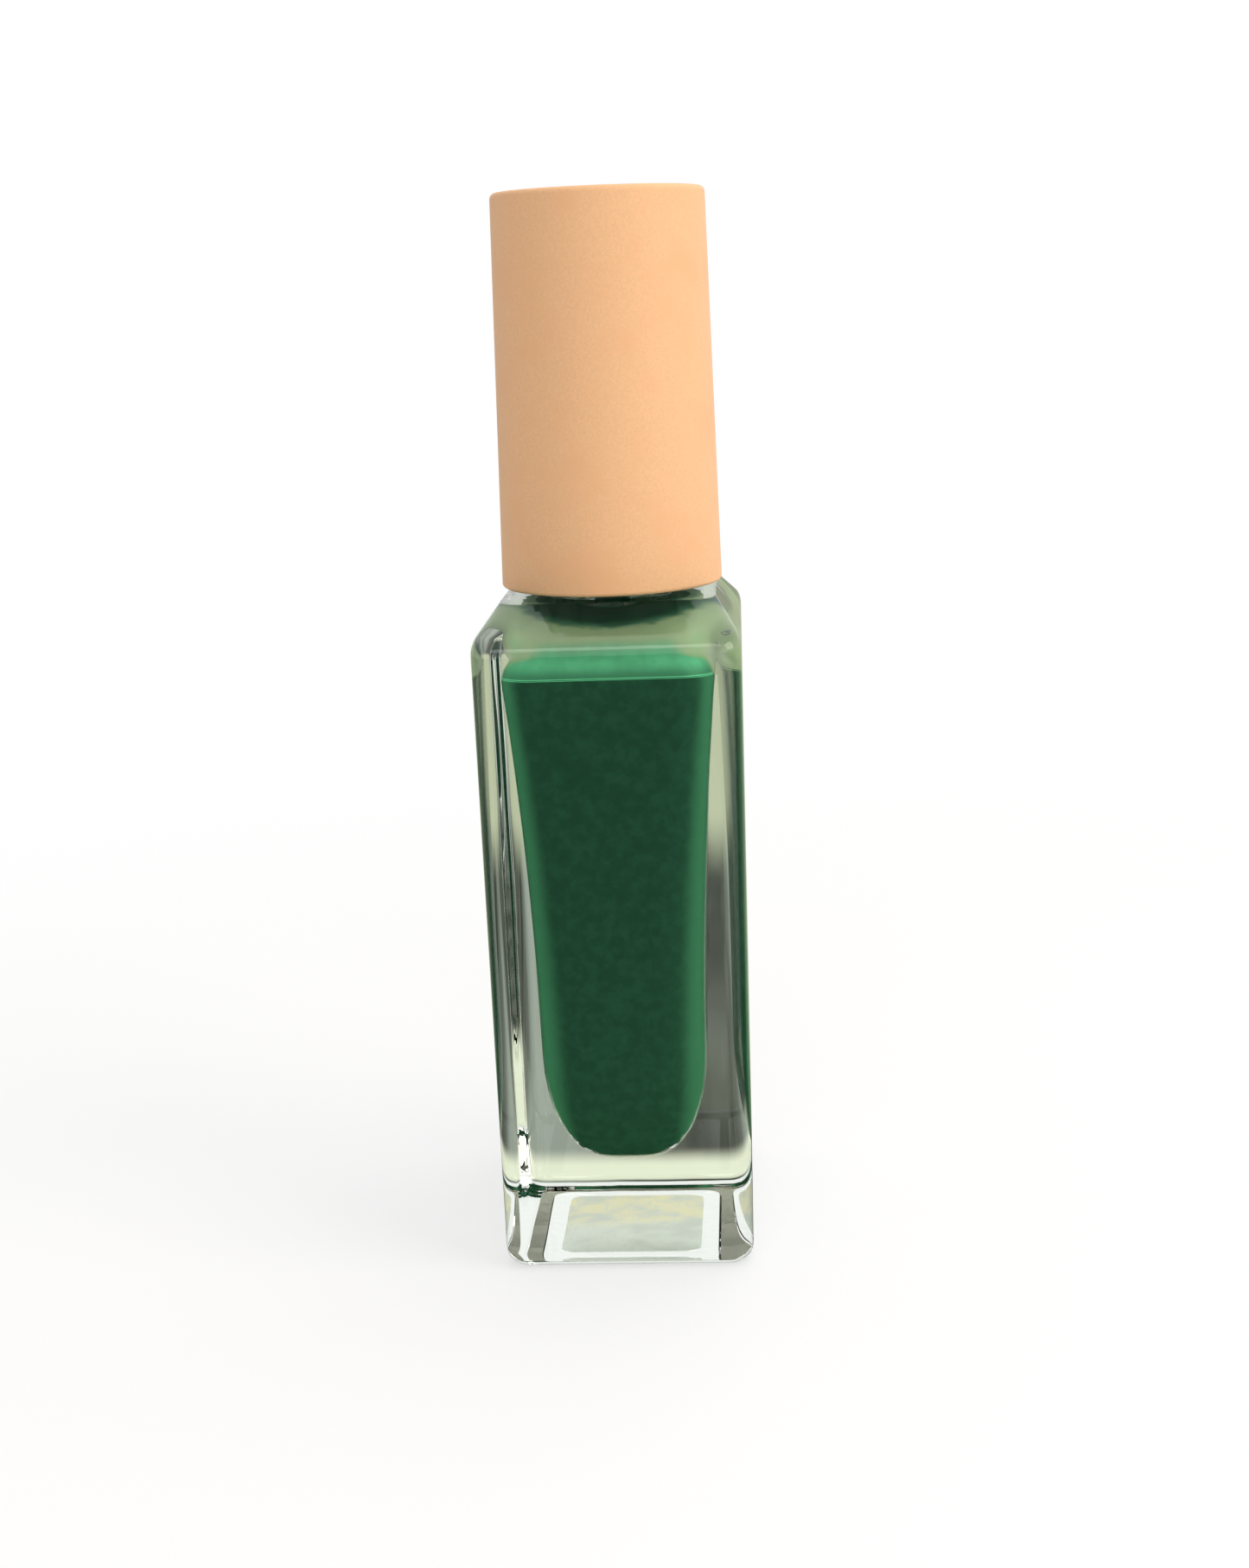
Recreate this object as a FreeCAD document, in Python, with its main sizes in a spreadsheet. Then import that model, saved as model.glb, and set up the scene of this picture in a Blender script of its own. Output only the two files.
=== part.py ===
import FreeCAD, Part
import math
import os
import re
import Sketcher

# Nail polish bottle, about 13 ml, with a brush in its cap.
# Origin at the centre of the base, +Z up, front face towards -Y. Millimetres throughout.

SHEET = "Dims"

DIMENSIONS = (
    # glass bottle, outside
    ("base_width", 22.4),
    ("base_depth", 28.8),
    ("body_width", 22.6),
    ("body_depth", 29.0),
    ("corner_radius", 2.0),
    ("heel_radius", 1.7),
    ("shoulder_start", 56.7),
    ("shoulder_rise", 2.8),
    ("shoulder_width_inset", 2.1),
    ("shoulder_depth_inset", 5.2),
    ("shoulder_corner", 2.5),
    ("shoulder_edge_drop", 1.0),
    ("shoulder_edge_lift", 0.6),
    ("foot_ring_width", 1.4),
    ("recess_height", 0.35),
    ("recess_corner", 1.6),
    # glass bottle, neck finish
    ("neck_radius", 5.7),
    ("neck_height", 11.2),
    ("neck_root_radius", 0.5),
    ("neck_rim_radius", 0.4),
    ("bore_radius", 3.4),
    ("thread_pitch", 2.12),
    ("thread_turns", 1.5),
    ("thread_height", 0.6),
    ("thread_crest_width", 0.5),
    ("thread_root_width", 1.3),
    ("thread_rise", 3.6),
    ("thread_sink", 0.3),
    # glass bottle, cavity
    ("floor_thickness", 8.0),
    ("floor_width", 14.7),
    ("floor_depth", 21.1),
    ("floor_corner", 4.8),
    ("floor_rise", 10.8),
    ("floor_width_inset", 5.6),
    ("floor_depth_inset", 7.8),
    ("middle_height", 28.0),
    ("middle_width", 15.6),
    ("middle_depth", 22.0),
    ("middle_corner", 3.9),
    ("roof_thickness", 4.0),
    ("roof_width", 18.0),
    ("roof_depth", 24.4),
    ("roof_corner", 3.0),
    ("roof_radius", 2.3),
    # lacquer and balls
    ("lacquer_film_gap", 0.03),
    ("fill_below_roof", 1.9),
    ("ball_radius", 2.0),
    ("ball_seat_gap", 0.2),
    ("ball_spacing_gap", 0.2),
    ("ball_pocket_gap", 0.05),
    ("well_gap", 0.35),
    # label under the base
    ("label_width", 12.8),
    ("label_depth", 19.2),
    ("label_corner", 1.6),
    ("label_thickness", 0.12),
    # outer cap
    ("cap_rim_gap", 0.45),
    ("cap_height", 32.9),
    ("cap_draft", 0.65),
    ("cap_edge_radius", 0.5),
    ("cap_rim_edge_radius", 0.3),
    ("cap_roof_thickness", 1.4),
    ("cap_wall_thickness", 1.2),
    ("cap_bore_step", 0.95),
    # inner cap
    ("skirt_lift", 0.5),
    ("skirt_thickness", 1.1),
    ("thread_crest_gap", 0.12),
    ("inner_thread_height", 0.5),
    ("seat_plate_thickness", 1.9),
    ("socket_wall", 1.3),
    ("socket_height", 4.0),
    ("socket_roof", 1.2),
    ("rib_count", 16),
    ("rib_width", 0.8),
    ("rib_height", 0.45),
    ("press_gap", 0.03),
    # brush
    ("flange_thickness", 0.9),
    ("flange_inset", 0.2),
    ("flange_gap", 0.05),
    ("head_radius", 2.5),
    ("head_gap", 0.06),
    ("bead_height", 1.0),
    ("bead_overhang", 0.45),
    ("rod_radius", 1.65),
    ("rod_tip_radius", 1.5),
    ("tuft_radius", 1.1),
    ("tuft_gap", 0.04),
    ("tuft_socket_depth", 4.6),
    ("tuft_end_gap", 0.2),
    ("bristle_length", 14.0),
    ("bristle_tip_gap", 0.88),
    ("bristle_belly_radius", 1.45),
    ("bristle_belly_drop", 9.0),
    ("bristle_tip_radius", 0.8),
    ("staple_radius", 0.2),
    ("staple_drop", 0.7),
    ("staple_end_gap", 0.12),
)

DOME_STEPS = 5
EDGE_STEPS = 4
RIGHT_ANGLE = 90.0
FULL_TURN = 360.0
CUT_MARGIN = 1.0
TOLERANCE = 0.01

# Levels and radii that several pieces share, as formulas on the sheet's cells.
SHOULDER_TOP = "(shoulder_start + shoulder_rise)"
NECK_TOP = f"({SHOULDER_TOP} + neck_height)"
CAVITY_TOP = f"({SHOULDER_TOP} - roof_thickness)"
FILL_LEVEL = f"({CAVITY_TOP} - fill_below_roof)"
RECESS_WIDTH = "(base_width - 2 * heel_radius - 2 * foot_ring_width)"
RECESS_DEPTH = "(base_depth - 2 * heel_radius - 2 * foot_ring_width)"
THREAD_START = f"({SHOULDER_TOP} + thread_rise)"
CREST_RADIUS = "(neck_radius + thread_height)"
CAP_RIM = f"({SHOULDER_TOP} + cap_rim_gap)"
CAP_TOP = f"({CAP_RIM} + cap_height)"
SKIRT_BOTTOM = f"({CAP_RIM} + skirt_lift)"
INNER_CREST = f"({CREST_RADIUS} + thread_crest_gap)"
INNER_ROOT = f"({INNER_CREST} + inner_thread_height)"
SKIRT_RADIUS = f"({INNER_ROOT} + skirt_thickness)"
RIB_RADIUS = f"({SKIRT_RADIUS} + rib_height)"
CAP_BORE = f"({RIB_RADIUS} + press_gap)"
CAP_UPPER_BORE = f"({CAP_BORE} - cap_bore_step)"
CAP_RIM_RADIUS = f"({CAP_BORE} + cap_wall_thickness)"
CAP_TOP_RADIUS = f"({CAP_RIM_RADIUS} - cap_draft)"
FLANGE_TOP = f"({NECK_TOP} + flange_thickness)"
SEAT_LEVEL = f"({FLANGE_TOP} + flange_gap)"
SEAT_TOP = f"({SEAT_LEVEL} + seat_plate_thickness)"
SOCKET_BORE = "(head_radius + head_gap)"
GROOVE_RADIUS = f"({SOCKET_BORE} + bead_overhang)"
GROOVE_FLOOR = f"({SEAT_TOP} + socket_height)"
BEAD_BOTTOM = f"({GROOVE_FLOOR} + flange_gap)"
HEAD_TOP = f"({BEAD_BOTTOM} + bead_height)"
SOCKET_CEILING = f"({HEAD_TOP} + flange_gap)"
SOCKET_TOP = f"({SOCKET_CEILING} + socket_roof)"
SOCKET_RADIUS = f"({GROOVE_RADIUS} + socket_wall)"
BALL_LEVEL = "(floor_thickness + ball_seat_gap + ball_radius)"
BALL_OFFSET = "(ball_radius + ball_spacing_gap / 2)"
BRISTLE_TIP = f"({BALL_LEVEL} + ball_radius + bristle_tip_gap)"
ROD_END = f"({BRISTLE_TIP} + bristle_length)"
TUFT_BORE = "(tuft_radius + tuft_gap)"
TUFT_SOCKET_TOP = f"({ROD_END} + tuft_socket_depth)"
TUFT_TOP = f"({TUFT_SOCKET_TOP} - tuft_end_gap)"
STAPLE_LEVEL = f"({TUFT_TOP} - staple_drop)"

doc = FreeCAD.newDocument("nail_polish_bottle")
sheet = doc.addObject("Spreadsheet::Sheet", SHEET)
for row, (alias, number) in enumerate(DIMENSIONS, start=1):
    sheet.set(f"A{row}", alias)
    sheet.set(f"B{row}", str(number))
    sheet.setAlias(f"B{row}", alias)
doc.recompute()


def bound(formula):
    """Put the sheet's name before every alias in a formula."""
    return re.sub(r"[a-z]+(?:_[a-z]+)+", lambda found: f"{SHEET}.{found.group(0)}", formula)


def value(formula):
    """What a formula comes to with the sheet's present numbers."""
    return float(sheet.evalExpression(bound(formula)))


def bind(item, prop, formula):
    item.setExpression(prop, bound(formula))


def new_body(name):
    return doc.addObject("PartDesign::Body", name)


def new_sketch(body, name, role, lift=None):
    """A sketch on one of the body's own origin planes, lifted along its normal."""
    plane = next(item for item in body.Origin.OriginFeatures if item.Role == role)
    sketch = body.newObject("Sketcher::SketchObject", name)
    sketch.AttachmentSupport = [(plane, "")]
    sketch.MapMode = "FlatFace"
    if lift:
        bind(sketch, "AttachmentOffset.Base.z", lift)
    return sketch


def constrain(sketch, formula, *terms):
    """Add a dimension to a sketch and bind it to a formula."""
    index = sketch.addConstraint(Sketcher.Constraint(*terms, value(formula)))
    bind(sketch, f"Constraints[{index}]", formula)


def rounded_rectangle(body, name, size, lift):
    """Four lines joined by four tangent arcs, centred on the origin. The size is width, depth, corner."""
    width, depth, corner = size
    sketch = new_sketch(body, name, "XY_Plane", lift)
    rounding = value(corner)
    half_width = value(width) / 2
    half_depth = value(depth) / 2
    flat_width = half_width - rounding
    flat_depth = half_depth - rounding
    sides = (
        ((-flat_width, -half_depth), (flat_width, -half_depth), (flat_width, -flat_depth)),
        ((half_width, -flat_depth), (half_width, flat_depth), (flat_width, flat_depth)),
        ((flat_width, half_depth), (-flat_width, half_depth), (-flat_width, flat_depth)),
        ((-half_width, flat_depth), (-half_width, -flat_depth), (-flat_width, -flat_depth)),
    )
    lines = []
    arcs = []
    for index, points in enumerate(sides):
        start, end, centre = (FreeCAD.Vector(x, y, 0) for x, y in points)
        lines.append(sketch.addGeometry(Part.LineSegment(start, end), False))
        circle = Part.Circle(centre, FreeCAD.Vector(0, 0, 1), rounding)
        first = math.radians(RIGHT_ANGLE * (index - 1))
        arc = Part.ArcOfCircle(circle, first, first + math.radians(RIGHT_ANGLE))
        arcs.append(sketch.addGeometry(arc, False))
    for side in range(4):
        following = lines[(side + 1) % 4]
        sketch.addConstraint(Sketcher.Constraint("Tangent", lines[side], 2, arcs[side], 1))
        sketch.addConstraint(Sketcher.Constraint("Tangent", arcs[side], 2, following, 1))
    for side in (0, 2):
        sketch.addConstraint(Sketcher.Constraint("Horizontal", lines[side]))
        sketch.addConstraint(Sketcher.Constraint("Vertical", lines[side + 1]))
    for side in range(1, 4):
        sketch.addConstraint(Sketcher.Constraint("Equal", arcs[0], arcs[side]))
    sketch.addConstraint(Sketcher.Constraint("Symmetric", lines[0], 1, lines[2], 1, -1, 1))
    constrain(sketch, corner, "Radius", arcs[0])
    constrain(sketch, width, "DistanceX", lines[3], 1, lines[1], 1)
    constrain(sketch, depth, "DistanceY", lines[0], 1, lines[2], 2)
    return sketch


def outline(body, name, points):
    """A closed outline on the XZ plane whose corners are pairs of formulas, radius and height."""
    sketch = new_sketch(body, name, "XZ_Plane")
    corners = [FreeCAD.Vector(value(x), value(z), 0) for x, z in points]
    count = len(corners)
    for index in range(count):
        segment = Part.LineSegment(corners[index], corners[(index + 1) % count])
        sketch.addGeometry(segment, False)
    for index, (x, z) in enumerate(points):
        previous = (index - 1) % count
        sketch.addConstraint(Sketcher.Constraint("Coincident", previous, 2, index, 1))
        if x == "0":
            sketch.addConstraint(Sketcher.Constraint("PointOnObject", index, 1, -2))
        else:
            constrain(sketch, x, "DistanceX", -1, 1, index, 1)
        constrain(sketch, z, "DistanceY", -1, 1, index, 1)
    return sketch


def revolve(body, name, points):
    """A full turn of an outline about the body's vertical axis."""
    profile = outline(body, name + "_profile", points)
    turned = body.newObject("PartDesign::Revolution", name)
    turned.Profile = profile
    turned.ReferenceAxis = (profile, ["V_Axis"])
    turned.Angle = FULL_TURN
    doc.recompute()
    return turned


def loft(body, name, sections, ruled):
    solid = body.newObject("PartDesign::AdditiveLoft", name)
    solid.Profile = sections[0]
    solid.Sections = sections[1:]
    solid.Ruled = ruled
    doc.recompute()
    return solid


def pad_circle(body, name, radius, lift, length):
    sketch = new_sketch(body, name + "_profile", "XY_Plane", lift)
    circle = Part.Circle(FreeCAD.Vector(0, 0, 0), FreeCAD.Vector(0, 0, 1), value(radius))
    sketch.addGeometry(circle, False)
    sketch.addConstraint(Sketcher.Constraint("Coincident", 0, 3, -1, 1))
    constrain(sketch, radius, "Radius", 0)
    return pad(body, name, sketch, length)


def pad(body, name, sketch, length):
    solid = body.newObject("PartDesign::Pad", name)
    solid.Profile = sketch
    bind(solid, "Length", length)
    doc.recompute()
    return solid


def round_edges(body, name, feature, height, radius, ring=None):
    """Round the edges at one height: all of them, or the ring whose reach is the max or the min."""
    level = value(height)
    reach = {}
    for index, edge in enumerate(feature.Shape.Edges, start=1):
        box = edge.BoundBox
        if abs(box.ZMin - level) < TOLERANCE and abs(box.ZMax - level) < TOLERANCE:
            reach[f"Edge{index}"] = max(abs(box.XMin), abs(box.XMax), abs(box.YMin), abs(box.YMax))
    chosen = list(reach)
    if ring:
        wanted = ring(reach.values())
        chosen = [edge for edge, far in reach.items() if abs(far - wanted) < TOLERANCE]
    fillet = body.newObject("PartDesign::Fillet", name)
    fillet.Base = (feature, chosen)
    bind(fillet, "Radius", radius)
    doc.recompute()
    return fillet


def thread_ridge(body, name, inner, outer, start, inward):
    """A helical ridge with a trapezoid section, its crest on the outer or the inner radius."""
    root, crest = (outer, inner) if inward else (inner, outer)
    points = (
        (root, f"{start} - thread_root_width / 2"),
        (crest, f"{start} - thread_crest_width / 2"),
        (crest, f"{start} + thread_crest_width / 2"),
        (root, f"{start} + thread_root_width / 2"),
    )
    profile = outline(body, name + "_profile", points)
    ridge = body.newObject("PartDesign::AdditiveHelix", name)
    ridge.Profile = profile
    ridge.ReferenceAxis = (profile, ["V_Axis"])
    ridge.Mode = "pitch-turns-angle"
    bind(ridge, "Pitch", "thread_pitch")
    bind(ridge, "Turns", "thread_turns")
    doc.recompute()
    return ridge


def dome(body, name, size, start, rise, insets):
    """Close a wall in a quarter ellipse: sections that narrow by the insets over the rise."""
    width, depth, corner = size
    sections = []
    for index in range(DOME_STEPS + 1):
        angle = RIGHT_ANGLE * index / DOME_STEPS
        width_step, depth_step = (f"({inset} * (1 - cos({angle})))" for inset in insets)
        narrowed = f"({width} - 2 * {width_step})"
        shortened = f"({depth} - 2 * {depth_step})"
        rounding = f"({corner} * {narrowed} / {width})"
        height = f"({start} + {rise} * sin({angle}))"
        section = (narrowed, shortened, rounding)
        sections.append(rounded_rectangle(body, f"{name}_section_{index}", section, height))
    return loft(body, name, sections, False)


def cavity_form(name, shrink):
    """The inside of the glass below the neck, smaller all round by a gap."""
    body = new_body(name)
    floor = f"(floor_thickness + {shrink})"
    roof = f"({CAVITY_TOP} - {shrink})"
    floor_start = f"({floor} + floor_rise)"
    roof_start = f"({roof} - roof_radius)"
    levels = (
        (floor_start, "floor_width", "floor_depth", "floor_corner"),
        ("(floor_thickness + middle_height)", "middle_width", "middle_depth", "middle_corner"),
        (roof_start, "roof_width", "roof_depth", "roof_corner"),
    )
    sections = []
    sizes = []
    for index, (height, width, depth, corner) in enumerate(levels):
        size = (f"({width} - 2 * {shrink})", f"({depth} - 2 * {shrink})", f"({corner} - {shrink})")
        sizes.append(size)
        sections.append(rounded_rectangle(body, f"{name}_section_{index}", size, height))
    loft(body, name + "_walls", sections, False)
    dome(body, name + "_floor", sizes[0], floor_start, "-floor_rise",
         ("floor_width_inset", "floor_depth_inset"))
    dome(body, name + "_roof", sizes[-1], roof_start, "roof_radius", ("roof_radius", "roof_radius"))
    return body


def primitive(kind, name, **sizes):
    item = doc.addObject(kind, name)
    for prop, formula in sizes.items():
        bind(item, prop, formula)
    return item


def place(item, x="0", y="0", z="0"):
    bind(item, "Placement.Base.x", x)
    bind(item, "Placement.Base.y", y)
    bind(item, "Placement.Base.z", z)
    return item


def join(name, *items):
    joined = doc.addObject("Part::MultiFuse", name)
    joined.Shapes = list(items)
    return joined


def cut(name, base, tool):
    result = doc.addObject("Part::Cut", name)
    result.Base = base
    result.Tool = tool
    doc.recompute()
    return result


def shoulder_section(body, name, height, share):
    """The outline at a height where the shoulder has gone in by a share of its insets."""
    size = (
        f"(body_width - 2 * shoulder_width_inset * {share})",
        f"(body_depth - 2 * shoulder_depth_inset * {share})",
        f"(corner_radius + (shoulder_corner - corner_radius) * {share})",
    )
    return rounded_rectangle(body, name, size, height)


def shoulder_edge(body):
    """Sections of a parabola that turns the upright wall into the shoulder's straight slope."""
    sections = []
    for index in range(EDGE_STEPS + 1):
        done = (index / EDGE_STEPS) ** 2
        left = (1 - index / EDGE_STEPS) ** 2
        height = f"(shoulder_start - shoulder_edge_drop * {left} + shoulder_edge_lift * {done})"
        share = f"(shoulder_edge_lift / shoulder_rise * {done})"
        sections.append(shoulder_section(body, f"edge_section_{index}", height, share))
    return sections


def make_glass_bottle():
    body = new_body("glass_outside")
    foot_size = ("base_width", "base_depth", "corner_radius")
    foot = rounded_rectangle(body, "foot_outline", foot_size, "0")
    edge = shoulder_edge(body)
    top = shoulder_section(body, "shoulder_outline", SHOULDER_TOP, 1)
    loft(body, "walls", [foot, edge[0]], True)
    loft(body, "rounded_edge", edge, False)
    slopes = loft(body, "shoulder", [edge[-1], top], True)
    heel = round_edges(body, "heel", slopes, "0", "heel_radius")
    recess_size = (RECESS_WIDTH, RECESS_DEPTH, "recess_corner")
    recess_outline = rounded_rectangle(body, "recess_outline", recess_size, "0")
    recess = body.newObject("PartDesign::Pocket", "base_recess")
    recess.Profile = recess_outline
    recess.Reversed = True
    bind(recess, "Length", "recess_height")
    doc.recompute()
    if recess.Shape.Volume >= heel.Shape.Volume:
        raise RuntimeError("the base recess cuts nothing")
    neck = pad_circle(body, "neck", "neck_radius", SHOULDER_TOP, "neck_height")
    root = round_edges(body, "neck_root", neck, SHOULDER_TOP, "neck_root_radius", ring=min)
    round_edges(body, "neck_rim", root, NECK_TOP, "neck_rim_radius")
    thread_ridge(body, "neck_thread", "(neck_radius - thread_sink)", CREST_RADIUS, THREAD_START, False)
    bore = primitive("Part::Cylinder", "neck_bore", Radius="bore_radius",
                     Height=f"{NECK_TOP} - {CAVITY_TOP} + {2 * CUT_MARGIN}")
    place(bore, z=f"{CAVITY_TOP} - {CUT_MARGIN}")
    hollow = join("hollow", cavity_form("cavity", "0"), bore)
    return cut("glass_bottle", body, hollow)


def make_mixing_balls():
    balls = []
    for name, side in (("ball_left", "-"), ("ball_right", "")):
        ball = primitive("Part::Sphere", name, Radius="ball_radius")
        balls.append(place(ball, x=side + BALL_OFFSET, z=BALL_LEVEL))
    group = doc.addObject("Part::Compound", "mixing_balls")
    group.Links = balls
    return group


def make_nail_lacquer():
    fill = primitive("Part::Cylinder", "fill_block", Radius="body_depth", Height=FILL_LEVEL)
    filled = doc.addObject("Part::Common", "filled_form")
    filled.Base = cavity_form("lacquer_form", "lacquer_film_gap")
    filled.Tool = fill
    well = primitive("Part::Cylinder", "brush_well", Radius="rod_radius + well_gap",
                     Height=f"{CAVITY_TOP} - {BRISTLE_TIP} + well_gap")
    hollows = [place(well, z=f"{BRISTLE_TIP} - well_gap")]
    for name, side in (("pocket_left", "-"), ("pocket_right", "")):
        pocket = primitive("Part::Sphere", name, Radius="ball_radius + ball_pocket_gap")
        hollows.append(place(pocket, x=side + BALL_OFFSET, z=BALL_LEVEL))
    return cut("nail_lacquer", filled, join("lacquer_hollows", *hollows))


def make_base_label():
    body = new_body("base_label")
    sketch = rounded_rectangle(body, "label_outline", ("label_width", "label_depth", "label_corner"),
                               "recess_height - label_thickness")
    pad(body, "label_sheet", sketch, "label_thickness")
    return body


def make_outer_cap():
    body = new_body("outer_cap")
    roof = f"({CAP_TOP} - cap_roof_thickness)"
    points = (
        (CAP_RIM_RADIUS, CAP_RIM),
        (CAP_TOP_RADIUS, CAP_TOP),
        ("0", CAP_TOP),
        ("0", roof),
        (CAP_UPPER_BORE, roof),
        (CAP_UPPER_BORE, SEAT_TOP),
        (CAP_BORE, SEAT_TOP),
        (CAP_BORE, CAP_RIM),
    )
    shell = revolve(body, "shell", points)
    rounded = round_edges(body, "top_edge", shell, CAP_TOP, "cap_edge_radius")
    round_edges(body, "rim_edge", rounded, CAP_RIM, "cap_rim_edge_radius", ring=max)
    return body


def make_inner_cap():
    body = new_body("inner_cap")
    points = (
        (INNER_ROOT, SKIRT_BOTTOM),
        (SKIRT_RADIUS, SKIRT_BOTTOM),
        (SKIRT_RADIUS, SEAT_TOP),
        (SOCKET_RADIUS, SEAT_TOP),
        (SOCKET_RADIUS, SOCKET_TOP),
        ("0", SOCKET_TOP),
        ("0", SOCKET_CEILING),
        (GROOVE_RADIUS, SOCKET_CEILING),
        (GROOVE_RADIUS, GROOVE_FLOOR),
        (SOCKET_BORE, GROOVE_FLOOR),
        (SOCKET_BORE, SEAT_LEVEL),
        (INNER_ROOT, SEAT_LEVEL),
    )
    revolve(body, "closure", points)
    rib_sketch = outline(body, "rib_outline", (
        (f"{SKIRT_RADIUS} - skirt_thickness / 2", SKIRT_BOTTOM),
        (RIB_RADIUS, f"{SKIRT_BOTTOM} + rib_width"),
        (RIB_RADIUS, SEAT_TOP),
        (f"{SKIRT_RADIUS} - skirt_thickness / 2", SEAT_TOP),
    ))
    rib = body.newObject("PartDesign::Pad", "rib")
    rib.Profile = rib_sketch
    rib.Midplane = True
    bind(rib, "Length", "rib_width")
    doc.recompute()
    ribs = body.newObject("PartDesign::PolarPattern", "ribs")
    ribs.Originals = [rib]
    ribs.Axis = (rib_sketch, ["V_Axis"])
    ribs.Angle = FULL_TURN
    bind(ribs, "Occurrences", "rib_count")
    body.Tip = ribs
    doc.recompute()
    thread_ridge(body, "cap_thread", INNER_CREST, f"({INNER_ROOT} + thread_sink)",
                 f"({THREAD_START} - thread_pitch / 2)", True)
    return body


def make_brush_stem():
    body = new_body("brush_stem")
    flange_radius = "(neck_radius - flange_inset)"
    points = (
        ("0", HEAD_TOP),
        ("head_radius", HEAD_TOP),
        ("head_radius + bead_overhang", BEAD_BOTTOM),
        ("head_radius", BEAD_BOTTOM),
        ("head_radius", FLANGE_TOP),
        (flange_radius, FLANGE_TOP),
        (flange_radius, NECK_TOP),
        ("rod_radius", NECK_TOP),
        ("rod_tip_radius", ROD_END),
        (TUFT_BORE, ROD_END),
        (TUFT_BORE, TUFT_SOCKET_TOP),
        ("0", TUFT_SOCKET_TOP),
    )
    revolve(body, "stem", points)
    return body


def staple_wire(name, radius, half_length):
    """A straight wire across the socket, along X."""
    wire = primitive("Part::Cylinder", name, Radius=radius, Height=f"2 * {half_length}")
    wire.Placement.Rotation = FreeCAD.Rotation(FreeCAD.Vector(0, 1, 0), RIGHT_ANGLE)
    return place(wire, x=f"-{half_length}", z=STAPLE_LEVEL)


def make_bristle_staple():
    return staple_wire("bristle_staple", "staple_radius", f"({TUFT_BORE} - staple_end_gap)")


def make_brush_bristles():
    body = new_body("tuft_form")
    points = (
        ("0", TUFT_TOP),
        ("tuft_radius", TUFT_TOP),
        ("tuft_radius", ROD_END),
        ("bristle_belly_radius", f"{ROD_END} - bristle_belly_drop"),
        ("bristle_tip_radius", BRISTLE_TIP),
        ("0", BRISTLE_TIP),
    )
    revolve(body, "tuft", points)
    slot = staple_wire("staple_slot", "staple_radius + tuft_gap", f"({TUFT_BORE} + tuft_gap)")
    return cut("brush_bristles", body, slot)


nodes = (
    make_glass_bottle(),
    make_nail_lacquer(),
    make_mixing_balls(),
    make_base_label(),
    make_outer_cap(),
    make_inner_cap(),
    make_brush_stem(),
    make_bristle_staple(),
    make_brush_bristles(),
)
for node in nodes:
    node.Label = node.Name
doc.recompute()

for item in doc.Objects:
    if "Invalid" in item.State or "Error" in item.State:
        raise RuntimeError(f"{item.Label} did not recompute: {item.State}")
for node in nodes:
    if node.Shape.isNull() or not node.Shape.isValid():
        raise RuntimeError(f"{node.Label} has no valid shape")

os.makedirs("parts", exist_ok=True)
for node in nodes:
    node.Shape.exportStep(f"parts/{node.Label}.step")
    solids = len(node.Shape.Solids)
    print(f"{node.Label}: {solids} solid(s), {node.Shape.Volume:.1f} mm3")
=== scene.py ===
import math
import random

import bmesh
import bpy
from bpy.props import FloatProperty, FloatVectorProperty, IntProperty, PointerProperty
from mathutils import Matrix, Vector


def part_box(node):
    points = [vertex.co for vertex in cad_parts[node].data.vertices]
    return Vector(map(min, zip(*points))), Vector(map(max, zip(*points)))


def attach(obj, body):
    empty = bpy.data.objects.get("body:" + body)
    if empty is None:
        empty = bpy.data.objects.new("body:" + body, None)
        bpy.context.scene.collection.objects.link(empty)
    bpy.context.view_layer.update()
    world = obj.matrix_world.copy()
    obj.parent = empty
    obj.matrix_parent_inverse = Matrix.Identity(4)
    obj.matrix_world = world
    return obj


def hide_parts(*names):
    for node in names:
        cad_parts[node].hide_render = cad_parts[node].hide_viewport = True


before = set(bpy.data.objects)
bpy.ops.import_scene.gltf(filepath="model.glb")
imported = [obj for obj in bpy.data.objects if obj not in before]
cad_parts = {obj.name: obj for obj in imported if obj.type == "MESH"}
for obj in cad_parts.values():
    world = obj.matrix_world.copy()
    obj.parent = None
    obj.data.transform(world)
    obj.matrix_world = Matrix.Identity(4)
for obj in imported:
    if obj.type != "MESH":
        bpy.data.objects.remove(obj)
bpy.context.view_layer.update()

bl_info = {
    "name": "Nail Polish Bottle",
    "version": (1, 0, 0),
    "blender": (4, 5, 0),
    "location": "View3D > Sidebar > Nail Polish",
    "description": "A glass bottle of nail lacquer with a soft-touch cap and a brush",
    "category": "Add Mesh",
}

# Origin at the centre of the base, +Z up, front face towards -Y. Blender's unit is the metre.
MM = 0.001

GLASS_LOW, GLASS_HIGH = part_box("glass_bottle")
CAP_LOW, CAP_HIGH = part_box("outer_cap")
BRISTLES_LOW, BRISTLES_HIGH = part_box("brush_bristles")

ARC_STEPS = 10
SIDE_STEPS = 12
RING_STEPS = 4 * (ARC_STEPS + SIDE_STEPS)
DOME_STEPS = 10
EDGE_STEPS = 8
WALL_STEPS = 14
ROUND_STEPS = 4
HEEL_STEPS = 6
CAP_SIDES = 128
CAP_ROWS = 6
BORE_EDGE = 0.6 * MM
BORE_STEPS = 5
THREAD_TURNS = 1.5
THREAD_ROWS = 44
THREAD_FADE = 0.35


def linear(hex_colour):
    """An sRGB hex colour as linear red, green and blue."""
    channels = [int(hex_colour[i:i + 2], 16) / 255 for i in (1, 3, 5)]
    return tuple(c / 12.92 if c <= 0.04045 else ((c + 0.055) / 1.055) ** 2.4 for c in channels)


def length(name, description, millimetres):
    return FloatProperty(name=name, description=description, default=millimetres * MM,
                         unit="LENGTH", subtype="DISTANCE", precision=5)


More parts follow.
